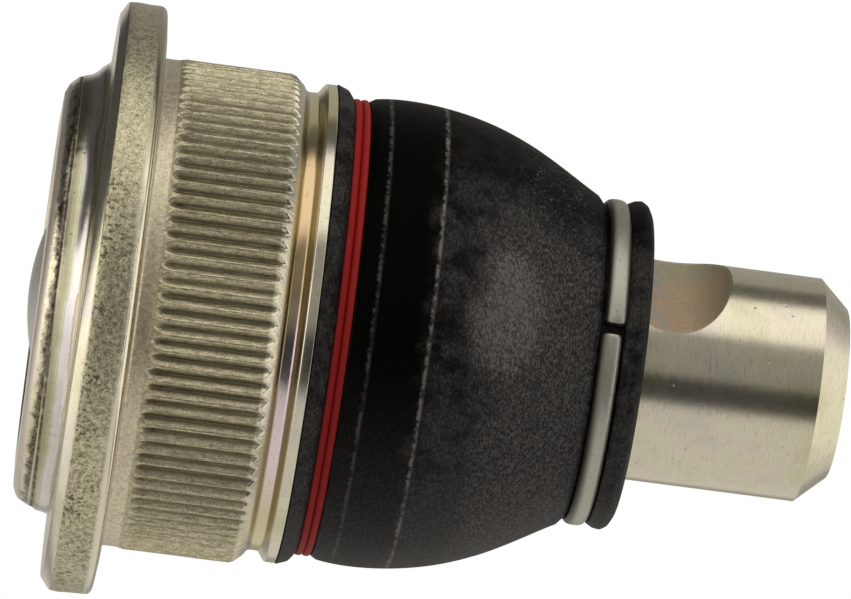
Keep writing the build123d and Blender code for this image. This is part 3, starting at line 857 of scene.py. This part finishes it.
def bootRubber():
    # moulded rubber: dull black below the parting seams, greyer and leathery above, creased along the stud
    # near the neck. Its light flecks are painted glints, densest in a band near the neck and in a painted
    # highlight patch on the front, and the top side is kept darker as painted shade.
    f = rubber
    r = Recipe("boot_rubber")
    x, y, z, radius, spot = r.place()
    stretched = r.vector(x, y, z * f["grainStretch"])
    leather = r.noise(stretched, f["grainScale"], 4.0, 0.7)
    salt = r.noise(stretched, f["saltScale"], 2.0, 0.8)
    smudge = r.noise(spot, 0.45, 4.0, 0.65)
    dots = r.noise(spot, 1.6, 3.0, 0.7).step(0.43, 0.57)
    creases = r.noise(r.vector(x * 3.0, y * 3.0, z * 0.6), 1.5, 4.0, 0.7)
    turn = turnFraction(x, y)
    upper = (z + (smudge - 0.5) * 4.0).step(f["seams"][1] - 1.2, f["seams"][1] + 1.6)
    # under is 1 on the side turned down in the picture, which is made greyer
    under = turn.step(0.50, 0.16)
    lip = z.step(f["lipEnd"] + 0.1, f["lipEnd"] - 0.2)
    # a band near the neck, away from the top side, where the painted glints are denser
    glintBand = z.within(*f["glintHeights"]) * turn.step(*f["glintTurn"])
    nearNeck = z.within(*f["creased"])
    # painted shade: on the side towards the picture's top the grey above the seams fades to a fifth,
    # keeping that side darker
    shaded = 0.2 + turn.step(0.78, 0.62) * 0.8
    patchy = smudge.step(0.36, 0.62)
    # worn: grey at the lip and where the rubber is worn above the seams, held darker as painted shade on
    # the top side and made greyer on the lower side
    worn = (upper * (0.25 + patchy * 0.75) * shaded + lip * (0.3 + patchy * 0.7) + under * 0.75).clamped()
    fine = leather * 0.6 + salt * 0.4
    crests = fine.step(0.45, 0.60)
    # painted highlight: a soft lighter patch on the front of the boot, speckled with painted glints
    reach = ((z - f["highlightHeight"]) / f["highlightReach"]) ** 2
    turned = ((turn - f["highlightTurn"]) / f["highlightWidth"]) ** 2
    highlightPatch = (reach + turned).step(3.0, 0.0) * (0.35 + smudge.step(0.3, 0.65))
    # light flecks on the grain's crests are painted glints, denser where the rubber is grey, in the band
    # near the neck and in the painted highlight patch
    paintedGlints = crests * (worn * 0.30 + glintBand * 0.45) + highlightPatch * (0.35 + crests * 1.1)
    seam = 0.0
    for height, share in zip(f["seams"], f["seamShare"]):
        drift = (leather - 0.5) * 0.3 + (dots - 0.5) * 0.08
        seam = (1 - (z - height + drift).combine("ABSOLUTE").step(0.0, f["seamWidth"])) * share + seam
    colour = r.layered(
        f["black"],
        ((worn * (fine * 4.4 - 1.4)).clamped(), r.mix(lip, f["grey"], f["lipGrey"])),
        (paintedGlints.clamped(), f["glintGrey"]),
        (salt.step(0.62, 0.78) * worn * 0.2, f["dust"]),
        (seam * (0.2 + dots * 0.8), f["dust"]),
        (creases.step(0.56, 0.70) * nearNeck * 0.4, f["dust"]),
    )
    normal = r.bumps(
        (leather * (0.3 + worn), f["leatherDepth"], 1.0),
        (salt, f["saltDepth"], 0.9),
        (seam * (0.4 + dots), f["seamHeight"], 1.0),
        (creases * nearNeck, f["creaseDepth"], 0.9),
    )
    roughness = f["smooth"] + (f["rough"] - f["smooth"]) * worn + leather * 0.1
    shine = (worn + glintBand + highlightPatch).clamped() * f["sheen"]
    return r.finish(Base_Color=colour, Roughness=roughness.clamped(), Specular_IOR_Level=0.03,
                    Coat_Weight=shine, Coat_Roughness=0.45, Normal=normal)


redPaint = dict(deep=(122, 0, 0), edge=(128, 44, 40), rough=0.5, depth=0.02)


def ringRed():
    # red lacquer, with painted shade deep red between the two turns, and paler towards the outer edges,
    # partly rubbed and partly a painted sheen
    f, b = redPaint, baseRing
    r = Recipe("ring_red")
    x, y, z, radius, spot = r.place()
    specks = r.noise(spot, 3.0, 4.0, 0.7)
    # paler towards the wire's outer edges, part rubbed paint and part painted sheen; the deep red between
    # the turns is painted shade
    outwards = (z - b["low"] - b["height"]).combine("ABSOLUTE").step(b["height"] * 0.15, b["height"])
    worn = (outwards * (0.15 + specks) + specks.step(0.58, 0.72) * 0.4).clamped()
    return r.finish(Base_Color=r.mix(worn, f["deep"], f["edge"]), Roughness=f["rough"] + specks * 0.2,
                    Specular_IOR_Level=0.2, Normal=r.bumps((specks, f["depth"], 0.8)))


# soot gives the heights over which painted shade darkens the wire's lower edge
wire = dict(steel=(172, 171, 163), shadow=(62, 60, 55), soot=(27.35, 26.75), rough=0.3,
            drawnDepth=0.012, speckDepth=0.02)


def ringWire():
    # drawn wire, spotted, and darkened along its lower edge by painted shade
    f = wire
    r = Recipe("ring_wire")
    x, y, z, radius, spot = r.place()
    specks = r.noise(spot, 4.0, 5.0, 0.75)
    drawn = r.noise(r.vector(radius * 9.0, 0.0, z * 16.0), 1.0, 3.0, 0.7)
    colour = r.layered(
        f["steel"],
        ((1 - specks.step(0.28, 0.46)) * 0.6, f["shadow"]),
        # painted shade along the wire's lower edge
        (z.step(*f["soot"]) * 0.9, f["shadow"]),
    )
    normal = r.bumps((drawn, f["drawnDepth"], 0.7), (specks, f["speckDepth"], 0.7))
    return r.finish(Base_Color=colour, Metallic=1.0, Roughness=f["rough"] + specks * 0.22, Normal=normal)


shellTint = dict(grey=(214, 208, 190), pale=(228, 224, 210), rough=0.36, depth=0.01)


def shellPlastic():
    # moulded acetal: slow flow marks and a fine matt grain
    f = shellTint
    r = Recipe("shell_plastic")
    x, y, z, radius, spot = r.place()
    flow = r.noise(r.vector(x * 0.5, y * 0.5, z * 1.5), 0.8, 4.0, 0.6)
    fine = r.noise(spot, 6.0, 2.0, 0.6)
    return r.finish(Base_Color=r.mix(flow.step(0.35, 0.65), f["grey"], f["pale"]),
                    Roughness=f["rough"] + fine * 0.18, Normal=r.bumps((fine, f["depth"], 0.6)))


def dress(piece, material):
    piece.data.materials.clear()
    piece.data.materials.append(material)


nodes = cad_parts
for material, pieces in (
    (zincHousing(), (housingSteel, nodes["housing"])),
    (bootRubber(), (bootLower, bootUpper, nodes["dust_boot"])),
    (ringRed(), (baseRingWire, nodes["boot_base_ring"])),
    (ringWire(), (neckRingWire, nodes["boot_neck_ring"])),
    (zincStud(), (nodes["ball_stud"],)),
    (zincCover(), (nodes["cover_plate"],)),
    (shellPlastic(), (nodes["bearing_shell"],)),
):
    for piece in pieces:
        dress(piece, material)
print("finishes put on")

# cards are the tent's bright and dark panels. turn is the angle from the viewer towards the picture's
# top, round the stud; rise is the angle towards the stud's tip; both in degrees. The belt is a list of
# (turn where a card starts, its level), and each soft is half the width of a card's blurred edge.
studio = dict(
    tentRadius=1.0, tentSteps=(48, 24), beltSoft=3.0,
    belt=((-180, 0.35), (-152, 0.73), (-32, 0.05), (-3, 0.34), (44, 1.3), (91, 0.12), (116, 0.4)),
    farCard=dict(turn=163, rise=-1, level=0.62, turnSoft=5, riseSoft=2),
    sideCard=dict(rise=-18, start=52, full=44, fade=0, end=-78, level=1.35, soft=5),
    caps=(
        dict(rise=46, low=-0.47, high=0.42, inside=1.12, outside=0.36, more=0.0),
        dict(rise=-48, low=-1.1, high=0.30, inside=1.0, outside=0.08, more=0.75),
    ),
    capSoft=6, litSoft=0.05,
    shade=dict(middle=(-0.62, 0.45, -0.64), width=33, level=0.08, soft=5),
    white=(255, 255, 255), warm=(255, 250, 240), sky=0.35,
    floorHeight=-18.05, floorRadius=0.8, floorColour=(244, 243, 241), floorGlow=0.12,
)
lamps = dict(
    key=dict(turn=68, rise=10, distance=0.6, size=0.5, power=2.2),
    fill=dict(turn=-90, rise=5, distance=0.6, size=0.5, power=0.9),
    tip=dict(turn=20, rise=65, distance=0.6, size=0.35, power=0.7),
    back=dict(turn=180, rise=0, distance=0.7, size=0.5, power=0.5),
)


def direction(turn, rise):
    flat = toViewer * cos(radians(turn)) + pictureUp * sin(radians(turn))
    return flat * cos(radians(rise)) + alongStud * sin(radians(rise))


def tentGlow():
    # brightness by direction: the belt's cards one after another, then the others laid over them
    s = studio
    r = Recipe("studio_tent")
    here = r.add("VectorMath", [r.add("TexCoord", output="Object")], operation="NORMALIZE")

    def dotWith(axis):
        return r.add("VectorMath", [here, tuple(axis)], output="Value", operation="DOT_PRODUCT")

    def laidOver(glow, share, level):
        return glow + share * (level - glow)

    facing, up, tip = (dotWith(axis) for axis in (toViewer, pictureUp, alongStud))
    turn = up.combine("ARCTAN2", facing) * (180 / pi)
    rise = tip.combine("ARCSINE") * (180 / pi)
    glow = s["belt"][0][1]
    for before, (start, level) in zip(s["belt"], s["belt"][1:]):
        glow = glow + turn.edge(start, s["beltSoft"]) * (level - before[1])
    card = s["farCard"]
    behind = turn.combine("ABSOLUTE").edge(card["turn"], card["turnSoft"])
    glow = laidOver(glow, behind * rise.edge(card["rise"], -card["riseSoft"]), card["level"])
    card = s["sideCard"]
    beside = turn.step(card["start"], card["full"]) * turn.step(card["end"], card["fade"])
    glow = laidOver(glow, beside * rise.edge(card["rise"], -card["soft"]), card["level"])
    for card in s["caps"]:
        cap = rise.edge(card["rise"], s["capSoft"] if card["rise"] > 0 else -s["capSoft"])
        lit = up.edge(card["low"], s["litSoft"]) * up.edge(card["high"], -s["litSoft"])
        inside = card["inside"] - card["outside"] + up.step(-0.5, 0.1) * card["more"]
        glow = laidOver(glow, cap, card["outside"] + lit * inside)
    card = s["shade"]
    middle = toViewer * card["middle"][0] + pictureUp * card["middle"][1] + alongStud * card["middle"][2]
    reach = [cos(radians(card["width"] + more)) for more in (card["soft"], -card["soft"])]
    glow = laidOver(glow, dotWith(middle.normalized()).step(*reach), card["level"])
    light = r.add("Emission", {"Color": s["warm"], "Strength": glow})
    r.add("OutputMaterial", [light])
    return r.material


def makeTent():
    # a sphere of turns by rises, its poles closed by the ring mesh's flat ends; only reflections see it
    turns, rises = studio["tentSteps"]
    angle = np.linspace(0, 2 * pi, turns, endpoint=False)
    size = studio["tentRadius"] / mm
    levels = np.linspace(-0.499 * pi, 0.499 * pi, rises)
    rings = [ring(size * np.cos(level), size * np.sin(level), angle) for level in levels]
    tent = ringMesh("studio_tent", rings, {}, closed=False)
    dress(tent, tentGlow())
    for ray in ("camera", "diffuse", "shadow", "transmission", "volume_scatter"):
        setattr(tent, "visible_" + ray, False)


def makeFloor():
    # a pale disc that is seen from above only and keeps the shadow; its rim melts into the backdrop
    s = studio
    size = s["floorRadius"] / mm
    r = Recipe("studio_floor")
    radius = r.place()[3]
    pale = r.add("BsdfDiffuse", {"Color": s["floorColour"]})
    ray = r.add("LightPath", output="Is Camera Ray")
    glow = r.add("Emission", {"Color": studio["white"], "Strength": ray * s["floorGlow"]})
    lit = r.add("AddShader", [pale, glow])
    clear = r.add("BsdfTransparent")
    below = r.add("NewGeometry", output="Backfacing")
    hidden = below + (1 - below) * radius.step(size * 0.35, size * 0.98)
    seen = r.add("MixShader", [hidden, lit, clear])
    r.add("OutputMaterial", [seen])
    angle = np.linspace(0, 2 * pi, 96, endpoint=False)
    rings = [ring(reach, s["floorHeight"], angle) for reach in np.linspace(size, 0.01, 24)]
    floor = ringMesh("studio_floor", rings, {}, closed=False, capped=False)
    dress(floor, r.material)
    for kind in ("glossy", "shadow"):
        setattr(floor, "visible_" + kind, False)


def makeLamps():
    middle = alongStud * shot["aimHeight"] * mm
    for name, lamp in lamps.items():
        data = bpy.data.lights.new("lamp_" + name, "AREA")
        data.shape, data.size, data.energy = "DISK", lamp["size"], lamp["power"]
        data.color = tone(studio["warm"])
        light = bpy.data.objects.new("lamp_" + name, data)
        out = direction(lamp["turn"], lamp["rise"])
        turn = out.to_track_quat("Z", "Y").to_matrix().to_4x4()
        light.matrix_world = Matrix.Translation(middle + out * lamp["distance"]) @ turn
        light.visible_glossy = False
        bpy.context.scene.collection.objects.link(light)


def makeWorld():
    # white wherever a camera, glossy or transmitted ray meets it, a plain sky for the rest
    r = Recipe("studio_world", "worlds")
    bpy.context.scene.world = r.material
    camera, glossy, transmitted = (r.add("LightPath", output=f"Is {kind} Ray")
                                   for kind in ("Camera", "Glossy", "Transmission"))
    sky, backdrop = (r.add("Background", {"Color": studio["white"], "Strength": strength})
                     for strength in (studio["sky"], 1.0))
    seen = (camera + glossy + transmitted).clamped()
    mixed = r.add("MixShader", [seen, sky, backdrop])
    r.add("OutputWorld", [mixed])


makeTent()
makeFloor()
makeLamps()
makeWorld()
print("studio lit")

bpy.context.scene.view_settings.view_transform = "Standard"
